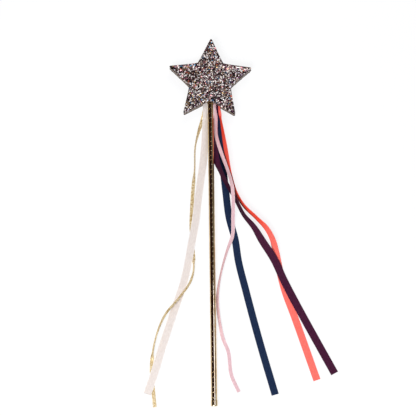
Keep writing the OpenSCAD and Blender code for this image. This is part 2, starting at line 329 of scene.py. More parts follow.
def makeRibbon(name, spec, finish):
    rings = ribbonRings(spec)
    last = len(rings) - 1
    half = ribbonStock["thickness"] / 2
    bm = bmesh.new()
    bmesh.ops.create_grid(bm, x_segments=spec["threads"], y_segments=last, size=1)
    weave = bm.loops.layers.uv.new("weave")
    stationOf = bm.verts.layers.float.new("station")
    leanOf = bm.verts.layers.float.new("lean")
    for vert in bm.verts:
        share, ring = vert.co.x, rings[round((1 - vert.co.y) / 2 * last)]
        middle, across, through, width, cup, place = ring
        for loop in vert.link_loops:
            loop[weave].uv = (share * spec["width"] / 2, place)
        fold = cup * (1 - abs(share) ** spec["cupPower"]) - cup / 2
        thin = half * (1 - spec["edgeThin"] * abs(share) ** ribbonStock["edgePower"])
        vert[stationOf] = place
        vert.co = (middle + across * share * width / 2 + through * (fold + thin)) * mm
    faceUp(bm)
    bmesh.ops.solidify(bm, geom=bm.faces[:], thickness=ribbonStock["thickness"] * mm)
    bm.normal_update()
    # lean drives the painted shading in the ribbon finishes
    for vert in bm.verts:
        vert[leanOf] = 1 - abs(vert.normal.z)  # how far the cloth is turned on edge
    if spec["ribHeight"]:
        moves = [(v, v.normal * math.sin(math.tau * v[stationOf] / spec["ribPitch"]) * spec["ribHeight"] * mm)
                 for v in bm.verts]
        for vert, move in moves:
            vert.co += move
    for vert in bm.verts:
        vert.co.z = max(vert.co.z, ribbonStock["floorRoom"] * mm)
    piece = newPiece(name, bm, finish, ribbonStock["sharpAngle"])
    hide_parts(*spec["nodes"])
    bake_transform(piece)
    print(name, "runs", round(rings[-1][5], 1), "mm in", last, "rings")


# the six ribbons; rows are across, along from the mouth, up, turn in degrees and width, as in the solids
# each ribbon's turned-edge tone is painted shade; on the gold ribbon it is painted paler light
creamRibbon = {
    "nodes": ("cream_ribbon", "cream_end"), "slot": "cream_ribbon", "body": "left_ribbons",
    "width": 7.4, "length": 297, "ringStep": 0.8, "threads": 14, "pathStep": 4,
    "cups": {0: 0.9, -6: 0.9, -12: 0.5, -22: 0.2}, "cupPower": 2, "edgeThin": 0.3,
    "ribPitch": 0.6, "ribHeight": 0,
    "rows": [
        (-5.35, 0, 5.2, 0, 4.1), (-5.3, -6, 3, 0, 4.5), (-4.9, -12, 1, 0, 6.2), (-5, -22, 0.5, 0, 7.4),
        (-6.6, -42, 0.3, 0, 7.4), (-13, -90, 0.8, 0, 7.4), (-16, -114, 0.9, 0, 7.4), (-19.5, -132, 1, 0, 7.4),
        (-27.5, -170, 0.3, 0, 7.4), (-33.5, -188, 0.3, 0, 7.4), (-48.3, -232, 0.5, 0, 7.4),
        (-55, -254, 0.9, 0, 7.4), (-62, -274, 0.8, 0, 7.4)],
    "dye": "eae0d8", "deep": "dacec6", "edge": "f3ede7", "edgeWidth": 0.7, "edgeShade": 0.7,
    "ribShade": 0.25, "rough": 0.45, "sheen": 0.02, "gloss": 0.12, "bump": 0.5,
    "paintedTurnShading": "cfc0b6", "paintedTurnShadingShare": 0.6,
}
makeRibbon("creamRibbon", creamRibbon, satinFinish("creamSatin", creamRibbon))

goldRibbon = {
    "nodes": ("gold_ribbon", "gold_end"), "slot": "gold_ribbon", "body": "left_ribbons",
    "width": 3.4, "length": 315, "ringStep": 0.7, "threads": 8, "pathStep": 5,
    "cups": {}, "cupPower": 2, "edgeThin": 0.2,
    "ribPitch": 0.9, "ribHeight": 0.02,
    "rows": [
        (-5.8, 0, 4.6, 0, 3.2), (-8.6, -12, 0.4, 0, 3.4), (-11.6, -22, 1.4, -45, 3.4),
        (-14.9, -36, 1.8, -72, 3.4), (-16, -61, 1.8, -72, 3.4), (-17.8, -80, 0.3, 0, 3.4),
        (-18.9, -95, 0.3, 0, 3.4), (-19.8, -113, 0.3, 0, 3.4), (-18, -146, 0.3, 0, 3.4),
        (-17.7, -153, 1.8, 68, 3.4), (-18.2, -160, 1.8, 64, 3.4), (-20.5, -168, 1.9, 50, 3.4),
        (-33, -186, 2.2, 55, 3.4), (-44, -199, 1.8, 50, 3.4), (-54.5, -224, 1.8, 65, 3.4),
        (-56.8, -236, 1.8, 60, 3.4), (-57.6, -244, 0.3, 0, 3.4), (-58, -252, 0.3, 0, 3.4),
        (-57.2, -262, 0.3, 0, 3.4), (-55, -286, 0.3, 0, 3.4)],
    # the palest grain tone is a painted glint; the others are the lurex's own tones
    "grain": 0.8, "grainTonesAndGlints": ((0, "a27d45"), (0.35, "d2b67e"), (0.65, "e8d6a8"), (0.88, "f8e8c6")),
    "deep": "a27d45", "ribShade": 0.3, "threadPitch": 0.45, "edgeWidth": 0.3, "gloss": 0.3, "metal": 0.1,
    "metalSpread": 0.3, "rough": 0.35, "roughSpread": 0.3, "bump": 0.6, "bumpDepth": 0.08,
    "paintedTurnShading": "f4dcaa", "paintedTurnShadingShare": 0.6,
}
makeRibbon("goldRibbon", goldRibbon, lurexFinish("goldLurex", goldRibbon))

pinkRibbon = {
    "nodes": ("pink_ribbon", "pink_end"), "slot": "pink_ribbon", "body": "right_ribbons",
    "width": 3.4, "length": 297, "ringStep": 0.7, "threads": 10, "pathStep": 5,
    "cups": {0: 0.5, -8: 0.9, -26: 0.9, -41: 0.5}, "cupPower": 1, "edgeThin": 0.3,
    "ribPitch": 0.55, "ribHeight": 0,
    "rows": [
        (4.3, 0, 6, 0, 2.4), (5, -8, 4.6, 0, 3.4), (5.2, -26, 1.9, 0, 3.4), (8.9, -41, 2.4, 10, 3.4),
        (15.5, -61, 4.8, 35, 3.4), (18.3, -71, 7, 40, 3.4), (20, -81, 9, 15, 3.4), (20.5, -91, 8.4, 0, 3.4),
        (20.2, -108, 3.5, 0, 3.4), (19.3, -126, 1.2, 0, 3.4), (14.5, -139, 1.5, 45, 3.4),
        (7.6, -163, 1.7, 60, 3.4), (4.5, -182, 1.5, 45, 3.4), (6, -208, 1.3, 40, 3.4),
        (9.5, -225, 0.7, 15, 3.4), (13.2, -234, 0.4, 0, 3.4), (16.5, -258, 0.3, 0, 3.4),
        (23, -273, 0.3, 0, 3.4)],
    "dye": "e6c4c7", "deep": "d8aeb2", "edge": "f0d6d8", "edgeWidth": 0.4, "edgeShade": 0.5,
    "ribShade": 0.25, "rough": 0.45, "sheen": 0.02, "gloss": 0.12, "bump": 0.5,
    "paintedTurnShading": "cca1a5", "paintedTurnShadingShare": 1.0,
}
makeRibbon("pinkRibbon", pinkRibbon, satinFinish("pinkSatin", pinkRibbon))

navyRibbon = {
    "nodes": ("navy_ribbon", "navy_end"), "slot": "navy_ribbon", "body": "right_ribbons",
    "width": 6.8, "length": 297, "ringStep": 0.225, "threads": 10, "pathStep": 14,
    "cups": {0: 0.8, -8: 0.5}, "cupPower": 2, "edgeThin": 0.2,
    "ribPitch": 0.9, "ribHeight": 0.05,
    "rows": [
        (5.6, 0, 4.3, 0, 4.4), (6.3, -8, 2, 0, 5), (6.8, -18, 0.4, 0, 6.8), (10.4, -48, 0.3, 0, 6.8),
        (13.6, -81, 0.3, 0, 6.8), (16.6, -108, 0.3, 0, 6.8), (22, -130, 0.3, 0, 6.8),
        (24.5, -149, 0.3, 0, 6.8), (31.1, -178, 0.3, 0, 6.8), (42.7, -225, 0.3, 0, 6.8),
        (56.6, -276, 0.3, 0, 6.8)],
    "dye": "21324c", "deep": "162340", "edge": "1a2947", "edgeWidth": 0.5, "edgeShade": 0.6,
    "ribShade": 0.3, "rough": 0.55, "sheen": 0.01, "gloss": 0.06, "bump": 0.4,
    "paintedTurnShading": "0e1830", "paintedTurnShadingShare": 0.8,
}
makeRibbon("navyRibbon", navyRibbon, satinFinish("navyGrosgrain", navyRibbon))

coralRibbon = {
    "nodes": ("coral_ribbon", "coral_end"), "slot": "coral_ribbon", "body": "right_ribbons",
    "width": 6.8, "length": 297, "ringStep": 0.8, "threads": 14, "pathStep": 4,
    "cups": {0: 0.6}, "cupPower": 2, "edgeThin": 0.3,
    "ribPitch": 0.6, "ribHeight": 0,
    "rows": [
        (8.7, 0, 5, 0, 2.2), (9.9, -11, 4.6, 76, 5), (11.8, -24, 4.1, 71, 6.8), (14.3, -41, 3.8, 62, 6.8),
        (19.5, -71, 3.4, 69, 6.8), (23, -83, 3.5, 71, 6.8), (30, -96, 3.5, 73, 6.8),
        (42.5, -109, 3.5, 71, 6.8), (52.5, -120, 3.1, 56, 6.8), (57.5, -130, 2.7, 46, 6.8),
        (60.5, -143, 1.5, 21, 6.8), (63.3, -158, 0.3, 0, 6.8), (67.8, -178, 0.3, 0, 6.8),
        (76.2, -203, 0.3, 0, 6.8), (95.7, -263, 0.3, 0, 6.8)],
    "dye": "ff7d73", "deep": "fb6a5c", "edge": "ff897f", "edgeWidth": 0.6, "edgeShade": 0.4,
    "ribShade": 0.25, "rough": 0.45, "sheen": 0.01, "gloss": 0.1, "bump": 0.5,
    "paintedTurnShading": "ff4a30", "paintedTurnShadingShare": 1.0,
}
makeRibbon("coralRibbon", coralRibbon, satinFinish("coralSatin", coralRibbon))

plumRibbon = {
    "nodes": ("plum_ribbon", "plum_end"), "slot": "plum_ribbon", "body": "right_ribbons",
    "width": 7.2, "length": 300, "ringStep": 0.225, "threads": 10, "pathStep": 14,
    "cups": {0: 0.8, -8: 0.6}, "cupPower": 2, "edgeThin": 0.2,
    "ribPitch": 0.9, "ribHeight": 0.05,
    "rows": [
        (5.3, 0, 5.4, 0, 3.9), (5.2, -8, 2.5, 0, 4.2), (4.2, -18, 0.9, 0, 6.2), (3.2, -42, 0.9, 0, 7.2),
        (5.2, -52, 3, 35, 7.2), (9, -63, 4.2, 62, 7.2), (24, -93, 3.9, 70, 7.2), (30.5, -106, 3.6, 68, 7.2),
        (40, -118, 3.1, 52, 7.2), (47, -130, 2.1, 28, 7.2), (58.5, -149, 1.6, 10, 7.2),
        (67.3, -169, 0.9, 0, 7.2), (79, -193, 0.8, 0, 7.2), (89.3, -213, 0.4, 0, 7.2),
        (112.3, -257, 0.3, 0, 7.2)],
    "dye": "4f1f3b", "deep": "3b142b", "edge": "441833", "edgeWidth": 0.5, "edgeShade": 0.6,
    "ribShade": 0.3, "rough": 0.55, "sheen": 0.01, "gloss": 0.06, "bump": 0.4,
    "paintedTurnShading": "2e0d20", "paintedTurnShadingShare": 0.8,
}
makeRibbon("plumRibbon", plumRibbon, satinFinish("plumGrosgrain", plumRibbon))
print("ribbons laid")

# the padded star, in its own frame: middle at the origin, +Y to its upper point
star = {
    "points": 5, "sharpR": 43.5, "notchR": 21.5, "tipCut": 2.5, "tipSegments": 4, "edgeCuts": 11,
    "edgeDraw": 0.4, "middle": (0, 136, 5), "turn": -2, "rim": 3.4, "crown": 5, "domePower": 0.7,
    "notchRim": 4.5, "swellWidth": 8, "sheet": 0.8, "glue": 0.1, "padDraw": 0.4,
    "rings": (0.97, 0.92, 0.86, 0.79, 0.71, 0.62, 0.53, 0.44, 0.35, 0.26, 0.17, 0.08),
    "frontRest": 0, "backRest": 0.45, "sink": 0.28, "longEdge": 5, "nearMiddle": 0.01,
}
starPlace = (Matrix.Translation(Vector(star["middle"]) * mm)
             @ Matrix.Rotation(math.radians(star["turn"]), 4, "Z"))


def newVerts(made):
    return [g for g in made["geom"] if isinstance(g, bmesh.types.BMVert)]


def newLoop(made):
    fresh = set(newVerts(made))
    return [g for g in made["geom"] if isinstance(g, bmesh.types.BMEdge) and fresh.issuperset(g.verts)]


# outline of the star as a loop of edges, in mm
def starLoop(spread):
    bm = bmesh.new()
    bmesh.ops.create_circle(bm, cap_ends=True, segments=2 * star["points"], radius=star["sharpR"])
    corners = sorted(bm.verts, key=lambda v: v.index)
    shrink = star["notchR"] / star["sharpR"]
    bmesh.ops.scale(bm, vec=(shrink, shrink, 1), verts=corners[1::2])
    bmesh.ops.bevel(bm, geom=corners[0::2], offset=star["tipCut"], affect="VERTICES",
                    segments=star["tipSegments"], profile=0.5, material=-1)
    straight = [e for e in bm.edges if e.calc_length() > star["longEdge"]]
    bmesh.ops.subdivide_edges(bm, edges=straight, cuts=star["edgeCuts"])
    bmesh.ops.delete(bm, geom=bm.faces[:], context="FACES_ONLY")
    arm = math.tau / star["points"]
    for vert in bm.verts:
        bearing = (math.atan2(vert.co.x, vert.co.y) + arm / 2) % arm - arm / 2
        pull = star["edgeDraw"] * math.sin(math.pi * abs(bearing) / (arm / 2))
        vert.co -= vert.co.normalized() * pull
    bmesh.ops.scale(bm, vec=(spread, spread, 1), verts=bm.verts[:])
    return bm


# crowned surface over that loop, ring by ring to the middle
def crownStar(bm, rest, drop, spread=1.0):
    shareOf = bm.verts.layers.float.new("share")
    for vert in bm.verts:
        vert[shareOf] = 1
    loop, previous = bm.edges[:], 1.0
    for share in star["rings"]:
        made = bmesh.ops.extrude_edge_only(bm, edges=loop)
        ring, loop = newVerts(made), newLoop(made)
        bmesh.ops.scale(bm, vec=(share / previous, share / previous, 1), verts=ring)
        for vert in ring:
            vert[shareOf] = share
        previous = share
    bmesh.ops.pointmerge(bm, verts=ring, merge_co=(0, 0, 0))
    notch = Vector((0, -star["notchR"], 0))
    for vert in bm.verts:
        flat = Vector((vert.co.x, vert.co.y, 0))
        share = vert[shareOf] if flat.length > star["nearMiddle"] else 0
        edge = flat / share / spread if share else flat
        swell = max(0, 1 - ((edge - notch).length / star["swellWidth"]) ** 2)
        rim = star["rim"] + (star["notchRim"] - star["rim"]) * swell
        past = max(0, (share - rest) / (1 - rest))
        vert.co.z = rim + (star["crown"] - rim) * (1 - past * past) ** star["domePower"] - drop
    faceUp(bm)


# a half star in its place, turned over for the back
def placeHalf(bm, side):
    if side < 0:
        bmesh.ops.scale(bm, vec=(1, 1, -1), verts=bm.verts[:])
        bmesh.ops.reverse_faces(bm, faces=bm.faces[:])
    bmesh.ops.scale(bm, vec=(mm, mm, mm), verts=bm.verts[:])
    bmesh.ops.transform(bm, matrix=starPlace, verts=bm.verts[:])


# cloth pulled over the padding: held at its edge, pressed out from inside
clothTrial = {"scale": 10, "pressure": 4, "frames": 20, "quality": 6, "tension": 15, "bending": 3,
              "cap": 0.35}


def settleCloth(bm):
    mesh = bpy.data.meshes.new("clothTrial")
    bmesh.ops.scale(bm, vec=(clothTrial["scale"] * mm,) * 3, verts=bm.verts[:])
    bm.verts.index_update()
    held = [v.index for v in bm.verts if v.is_boundary]
    bm.to_mesh(mesh)
    trial = bpy.data.objects.new("clothTrial", mesh)
    scene.collection.objects.link(trial)
    trial.vertex_groups.new(name="held").add(held, 1.0, "REPLACE")
    cloth = trial.modifiers.new("settle", "CLOTH")
    cloth.settings.vertex_group_mass = "held"
    cloth.settings.quality = clothTrial["quality"]
    cloth.settings.tension_stiffness = clothTrial["tension"]
    cloth.settings.compression_stiffness = clothTrial["tension"]
    cloth.settings.bending_stiffness = clothTrial["bending"]
    cloth.settings.use_pressure = True
    cloth.settings.uniform_pressure_force = clothTrial["pressure"]
    cloth.settings.effector_weights.gravity = 0
    cloth.point_cache.frame_end = clothTrial["frames"]
    for number in range(1, clothTrial["frames"] + 1):
        scene.frame_set(number)
    settled = trial.evaluated_get(bpy.context.evaluated_depsgraph_get()).data
    cap = clothTrial["cap"] * mm * clothTrial["scale"]
    furthest = 0
    for vert, other in zip(bm.verts, settled.vertices):
        move = other.co - vert.co
        furthest = max(furthest, move.length)
        if move.length > cap:
            move *= cap / move.length
        vert.co += move
    bpy.data.objects.remove(trial)
    scene.frame_set(1)
    bmesh.ops.scale(bm, vec=(1 / (clothTrial["scale"] * mm),) * 3, verts=bm.verts[:])
    print("cloth moved", round(furthest / (clothTrial["scale"] * mm), 2), "mm at most")


# fine glitter between the flakes: random grains with their own colour and lie
def grainGroup():
    tree, given, out = newGroup("glitterGrain", {"Grain Size": 0.4}, ["Pick", "Height", "Gap"])
    place = put(tree, "ShaderNodeTexCoord").outputs["Object"]
    scale = calc(tree, "DIVIDE", 1 / mm, given["Grain Size"])
    cells = put(tree, "ShaderNodeTexVoronoi", {"Vector": place, "Scale": scale})
    pick = put(tree, "ShaderNodeSeparateColor", {0: cells.outputs["Color"]}).outputs
    tree.links.new(pick[0], out["Pick"])
    tree.links.new(calc(tree, "ADD", pick[1], cells.outputs["Distance"]), out["Height"])
    tree.links.new(cells.outputs["Distance"], out["Gap"])
    return tree


glitterGrain = grainGroup()
glitterTones = [
    (0.0, "1a0d12"), (0.14, "3e1f2c"), (0.25, "5a3040"), (0.34, "6a5550"), (0.46, "98837d"),
    (0.57, "bdada6"), (0.66, "faf1eb"), (0.85, "c0848a"), (0.91, "bd9a6c"), (0.96, "5a9cc4"),
    (0.973, "c0604c"),
]
glitter = {"grain": 0.42, "shade": "2a1a1c", "shadeShare": 0.45, "gapShade": 0.9, "metal": 0.75,
           "rough": 0.25, "roughSpread": 0.3, "bump": 0.9, "bumpDepth": 0.2}


def glitterFinish(name):
    material, tree, shader = newFinish(name, {"Metallic": glitter["metal"]})
    cells = useGroup(tree, glitterGrain, {"Grain Size": glitter["grain"]})
    shade = linear(glitter["shade"])
    tone = ramp(tree, cells["Pick"], toneStops(glitterTones), "CONSTANT")
    tone = mixed(tree, calc(tree, "MULTIPLY", cells["Gap"], glitter["gapShade"], clamp=True), tone, shade)
    tree.links.new(mixed(tree, glitter["shadeShare"], tone, shade), shader.inputs["Base Color"])
    rough = calc(tree, "MULTIPLY_ADD", cells["Pick"], glitter["roughSpread"], glitter["rough"])
    tree.links.new(rough, shader.inputs["Roughness"])
    linkBump(tree, shader, glitter["bump"], glitter["bumpDepth"], cells["Height"])
    return material


# flakes over the cover, each with its own tone; metal follows the tone
flakes = {
    "pitch": 1.08, "jitter": 0.32, "small": 0.55, "large": 0.95, "thickness": 0.05, "tilt": 17,
    "mostTilt": 42, "hold": 0.7, "holdAngles": (0, 1.57, 3.14, 4.71), "leastLevel": 0.3, "castFrom": 0.03,
    "lift": 0.12, "batch": 90, "floorRoom": 0.02, "sharpAngle": 20, "seeds": {1: 7, -1: 9},
    "metal": ((0.0, 0.95), (0.25, 0.9), (0.34, 0.8), (0.57, 0.65), (0.66, 0.15), (0.85, 0.6)),
    "rough": 0.12, "roughSpread": 0.2, "roughTurns": 37.0,
}


def flakeFinish(name):
    material, tree, shader = newFinish(name, {})
    tone = put(tree, "ShaderNodeAttribute", attribute_name="tone").outputs["Fac"]
    tree.links.new(ramp(tree, tone, toneStops(glitterTones), "CONSTANT"), shader.inputs["Base Color"])
    metal = ramp(tree, tone, [(place, (v, v, v, 1)) for place, v in flakes["metal"]], "CONSTANT")
    tree.links.new(metal, shader.inputs["Metallic"])
    spread = calc(tree, "FRACT", calc(tree, "MULTIPLY", tone, flakes["roughTurns"]))
    rough = calc(tree, "MULTIPLY_ADD", spread, flakes["roughSpread"], flakes["rough"])
    tree.links.new(rough, shader.inputs["Roughness"])
    return material


flakeGlitter = flakeFinish("flakeGlitter")


# hexagonal flakes strewn over a cover; side is 1 in front and -1 behind
def strewFlakes(name, tree, side):
    draw = random.Random(flakes["seeds"][side])
    whole, batch, count = bmesh.new(), bmesh.new(), 0
    toneOf = batch.verts.layers.float.new("tone")
    turn = Matrix.Rotation(math.radians(star["turn"]), 3, "Z")
    rowStep, reach = flakes["pitch"] * math.sqrt(0.75), star["sharpR"]
    carrier = bpy.data.meshes.new("flakeBatch")

    def emptyBatch():
        bmesh.ops.solidify(batch, geom=batch.faces[:], thickness=flakes["thickness"] * mm)
        for vert in batch.verts:
            vert.co.z = max(vert.co.z, flakes["floorRoom"] * mm)
        batch.to_mesh(carrier)
        whole.from_mesh(carrier)
        bmesh.ops.delete(batch, geom=batch.verts[:], context="VERTS")

    for row in range(int(-reach / rowStep), int(reach / rowStep) + 1):
        for column in range(int(-reach / flakes["pitch"]), int(reach / flakes["pitch"]) + 1):
            x = (column + (row % 2) / 2 + draw.uniform(-1, 1) * flakes["jitter"]) * flakes["pitch"]
            y = (row + draw.uniform(-1, 1) * flakes["jitter"]) * rowStep
            tone, yaw, bearing = draw.random(), draw.uniform(0, math.tau), draw.uniform(0, math.tau)
            tilt = min(abs(draw.gauss(0, flakes["tilt"])), flakes["mostTilt"])
            radius, lift = draw.uniform(flakes["small"], flakes["large"]), draw.uniform(0, flakes["lift"])
            spot = (turn @ Vector((x, y, 0)) + Vector(star["middle"])) * mm
            above, down = spot + Vector((0, 0, side * flakes["castFrom"])), Vector((0, 0, -side))
            hit, normal = tree.ray_cast(above, down)[:2]
            if hit is None or normal.z * side < flakes["leastLevel"]:
                continue
            hold = radius * flakes["hold"] * mm
            steps = [Vector((math.cos(a), math.sin(a), 0)) * hold for a in flakes["holdAngles"]]
            if any(tree.ray_cast(above + step, down)[0] is None for step in steps):
                continue
            lie = normal.to_track_quat("Z", "Y").to_matrix().to_4x4()
            lean = Matrix.Rotation(math.radians(tilt), 4, Vector((math.cos(bearing), math.sin(bearing), 0)))
            place = Matrix.Translation(hit + normal * lift * mm) @ lie @ lean @ Matrix.Rotation(yaw, 4, "Z")
            made = bmesh.ops.create_circle(batch, cap_ends=True, segments=6, radius=radius * mm, matrix=place)
            for vert in made["verts"]:
                vert[toneOf] = tone
            count += 1
            if count % flakes["batch"] == 0:
                emptyBatch()
    emptyBatch()
    batch.free()
    print(name, count, "flakes")
    return addPiece(name, whole, flakeGlitter, (), flakes["sharpAngle"])


def makeCover(name, rest, side, node, finish):
    bm = starLoop(1.0)
    crownStar(bm, rest, star["sink"])
    settleCloth(bm)
    for vert in bm.verts:
        vert.co.z = min(vert.co.z, star["crown"] - star["sink"])
    bmesh.ops.solidify(bm, geom=bm.faces[:], thickness=star["sheet"])
    placeHalf(bm, side)
    bm.normal_update()
    tree = BVHTree.FromBMesh(bm)
    cover = addPiece(name, bm, finish, (node,))
    strewn = strewFlakes(name.replace("Cover", "Flakes"), tree, side)


makeCover("starFrontCover", star["frontRest"], 1, "star_front_sheet",
          glitterFinish("frontGlitter"))
makeCover("starBackCover", star["backRest"], -1, "star_back_sheet",
          glitterFinish("backGlitter"))
print("star covers done")

# foam halves between the covers, opened for the stick and the ribbons' glued ends
foam = {
    "colour": "8a7560", "deep": "6b594a", "toneSpan": (0.3, 0.7), "sheen": 0.3, "rough": 0.9,
    "fineScale": 900.0, "poreScale": 2200.0, "bump": 0.8, "bumpDepth": 0.15,
    "bulge": 0.25, "wallSteps": 4, "foot": 0.05, "fray": 0.08, "frayScale": 1.7, "frayShift": 9,
    "channelR": 3.0, "channelLength": 32, "channelPast": 10, "channelBack": 10.1, "channelSegments": 48,
    "pocketLow": (-7.5, 107, 4.0), "pocketHigh": (9.9, 124.1, 6.3),
}
stick = {"tail": 314, "height": 5, "capRadius": 3.1}


def foamFinish():
    material, tree, shader = newFinish("foamEdge", {
        "Sheen Weight": foam["sheen"], "Roughness": foam["rough"]})
    place = put(tree, "ShaderNodeTexCoord").outputs["Object"]
    fine = put(tree, "ShaderNodeTexNoise", {
        "Vector": place, "Scale": foam["fineScale"], "Detail": 5.0, "Roughness": 0.7}).outputs[0]
    cells = put(tree, "ShaderNodeTexVoronoi", {"Vector": place, "Scale": foam["poreScale"]})
    tone = mixed(tree, spanned(tree, fine, *foam["toneSpan"]), linear(foam["deep"]), linear(foam["colour"]))
    tree.links.new(tone, shader.inputs["Base Color"])
    linkBump(tree, shader, foam["bump"], foam["bumpDepth"],
             calc(tree, "ADD", fine, cells.outputs["Distance"]))
    return material


# the stick leans so that its tail rests on the floor
def stickMatrix():
    tail, capRadius = stick["tail"], stick["capRadius"]
    lean = math.asin(stick["height"] / math.hypot(tail, capRadius)) - math.atan2(capRadius, tail)
    return (Matrix.Translation(Vector(star["middle"]) * mm) @ Matrix.Rotation(lean, 4, "X")
            @ Matrix.Rotation(math.pi / 2, 4, "X"))


stickPlace = stickMatrix()
foamEdge = foamFinish()


def cutFrom(piece, cutter):
    tool = bpy.data.objects.new("cutter", bpy.data.meshes.new("cutter"))
    cutter.to_mesh(tool.data)
    cutter.free()
    scene.collection.objects.link(tool)
    boolean = piece.modifiers.new("cut", "BOOLEAN")
    boolean.operation, boolean.solver, boolean.object = "DIFFERENCE", "EXACT", tool
    cut = bpy.data.meshes.new_from_object(piece.evaluated_get(bpy.context.evaluated_depsgraph_get()))
    piece.modifiers.clear()
    piece.data = cut
    bpy.data.objects.remove(tool)


def openFoam(piece):
    channel = bmesh.new()
    depth, radius = (foam["channelLength"] + foam["channelPast"]) * mm, foam["channelR"] * mm
    bmesh.ops.create_cone(channel, cap_ends=True, segments=foam["channelSegments"], radius1=radius,
                          radius2=radius, depth=depth)
    bmesh.ops.translate(channel, vec=(0, 0, depth / 2 - foam["channelBack"] * mm), verts=channel.verts[:])
    bmesh.ops.transform(channel, matrix=stickPlace, verts=channel.verts[:])
    cutFrom(piece, channel)
    pocket = bmesh.new()
    low, high = Vector(foam["pocketLow"]) * mm, Vector(foam["pocketHigh"]) * mm
    bmesh.ops.create_cube(pocket, size=1)
    bmesh.ops.scale(pocket, vec=high - low, verts=pocket.verts[:])
    bmesh.ops.translate(pocket, vec=(low + high) / 2, verts=pocket.verts[:])
    cutFrom(piece, pocket)


def makeFoam(name, rest, side, node):
    spread = 1 - star["padDraw"] / star["notchR"]
    bm = starLoop(spread)
    wall = bm.edges[:]
    crownStar(bm, rest, star["sheet"] + star["glue"] + star["sink"], spread)
    for step in range(1, foam["wallSteps"] + 1):
        made = bmesh.ops.extrude_edge_only(bm, edges=wall)
        ring, wall = newVerts(made), newLoop(made)
        share = step / foam["wallSteps"]
        for vert in ring:
            vert.co.z = vert.co.z + (foam["foot"] - vert.co.z) / (foam["wallSteps"] - step + 1)
            out = Vector((vert.co.x, vert.co.y, 0)).normalized()
            spot = vert.co * foam["frayScale"] + Vector((0, 0, side * foam["frayShift"]))
            swell = math.sin(math.pi * share) - math.sin(math.pi * (share - 1 / foam["wallSteps"]))
            vert.co += out * (foam["bulge"] * swell + noise.noise(spot) * foam["fray"])
    bmesh.ops.contextual_create(bm, geom=wall)
    bmesh.ops.recalc_face_normals(bm, faces=bm.faces[:])
    placeHalf(bm, side)
    piece = addPiece(name, bm, foamEdge, (node,))
    openFoam(piece)


makeFoam("starFrontFoam", star["frontRest"], 1, "star_front_pad")
makeFoam("starBackFoam", star["backRest"], -1, "star_back_pad")
print("foam halves done")

# creases of thin metal foil, across its length; calmer towards the tail
creases = {"stretch": (0.35, 1.0, 0.35), "fineScale": 700.0, "broadScale": 160.0, "broadShare": 1.5,
           "calmSpan": (-0.04, 0.06, 0.7, 1.0), "toneSpan": (0.3, 0.7), "roughSpread": 0.06,
           "bumpDepth": 0.05}


def creaseGroup():
    tree, given, out = newGroup("foilCreases", {"Fineness": 1.0}, ["Height", "Tone"])
    place = put(tree, "ShaderNodeTexCoord").outputs["Object"]
    long = put(tree, "ShaderNodeMapping", {"Vector": place, "Scale": creases["stretch"]}).outputs[0]
    fine = put(tree, "ShaderNodeTexNoise", {
        "Vector": long, "Scale": calc(tree, "MULTIPLY", given["Fineness"], creases["fineScale"]),
        "Detail": 3.0, "Roughness": 0.55}).outputs[0]
    broad = put(tree, "ShaderNodeTexNoise", {
        "Vector": long, "Scale": calc(tree, "MULTIPLY", given["Fineness"], creases["broadScale"]),
        "Detail": 2.0}).outputs[0]
    height = calc(tree, "MULTIPLY_ADD", broad, creases["broadShare"], fine)
    along = put(tree, "ShaderNodeSeparateXYZ", {0: place}).outputs[1]
    calm = spanned(tree, along, *creases["calmSpan"])
    tree.links.new(calc(tree, "MULTIPLY", height, calm), out["Height"])
    tree.links.new(broad, out["Tone"])
    return tree


foilCreases = creaseGroup()


def foilFinish(name, spec):
    material, tree, shader = newFinish(name, {"Metallic": 1.0})
    crease = useGroup(tree, foilCreases, {"Fineness": spec["fineness"]})
    blend = spanned(tree, crease["Tone"], *creases["toneSpan"])
    tone = mixed(tree, blend, linear(spec["deep"]), linear(spec["gold"]))
    tree.links.new(tone, shader.inputs["Base Color"])
    rough = calc(tree, "MULTIPLY_ADD", crease["Tone"], creases["roughSpread"], spec["rough"])
    tree.links.new(rough, shader.inputs["Roughness"])
    linkBump(tree, shader, spec["bump"], creases["bumpDepth"], crease["Height"])
    return material


# foil strip wound round the stick, each turn lapped over the next one, flatter towards the tail;
# the strip's profile is rise, then its place in pitches and in laps
winding = {
    "pitch": 4.7, "lap": 0.9, "under": 2.82, "stepsPerTurn": 32, "start": -10, "end": 313.8,
    "thickness": 0.06,
    "profile": ((0, 0, 0), (0.02, 0, 1), (0.03, 0.45, 0), (0.05, 0.8, 0), (0.07, 1, 0), (0.11, 1, 0.55),
                (0.09, 1, 0.85), (0.06, 1, 1)),
    "dent": 0.03, "dentScale": 420, "calmFrom": 60, "calmTo": 170, "calm": 0.4, "sharpAngle": 60,
    "gold": "e6cda2", "deep": "cfae7c", "rough": 0.04, "fineness": 1.0, "bump": 0.3,
}


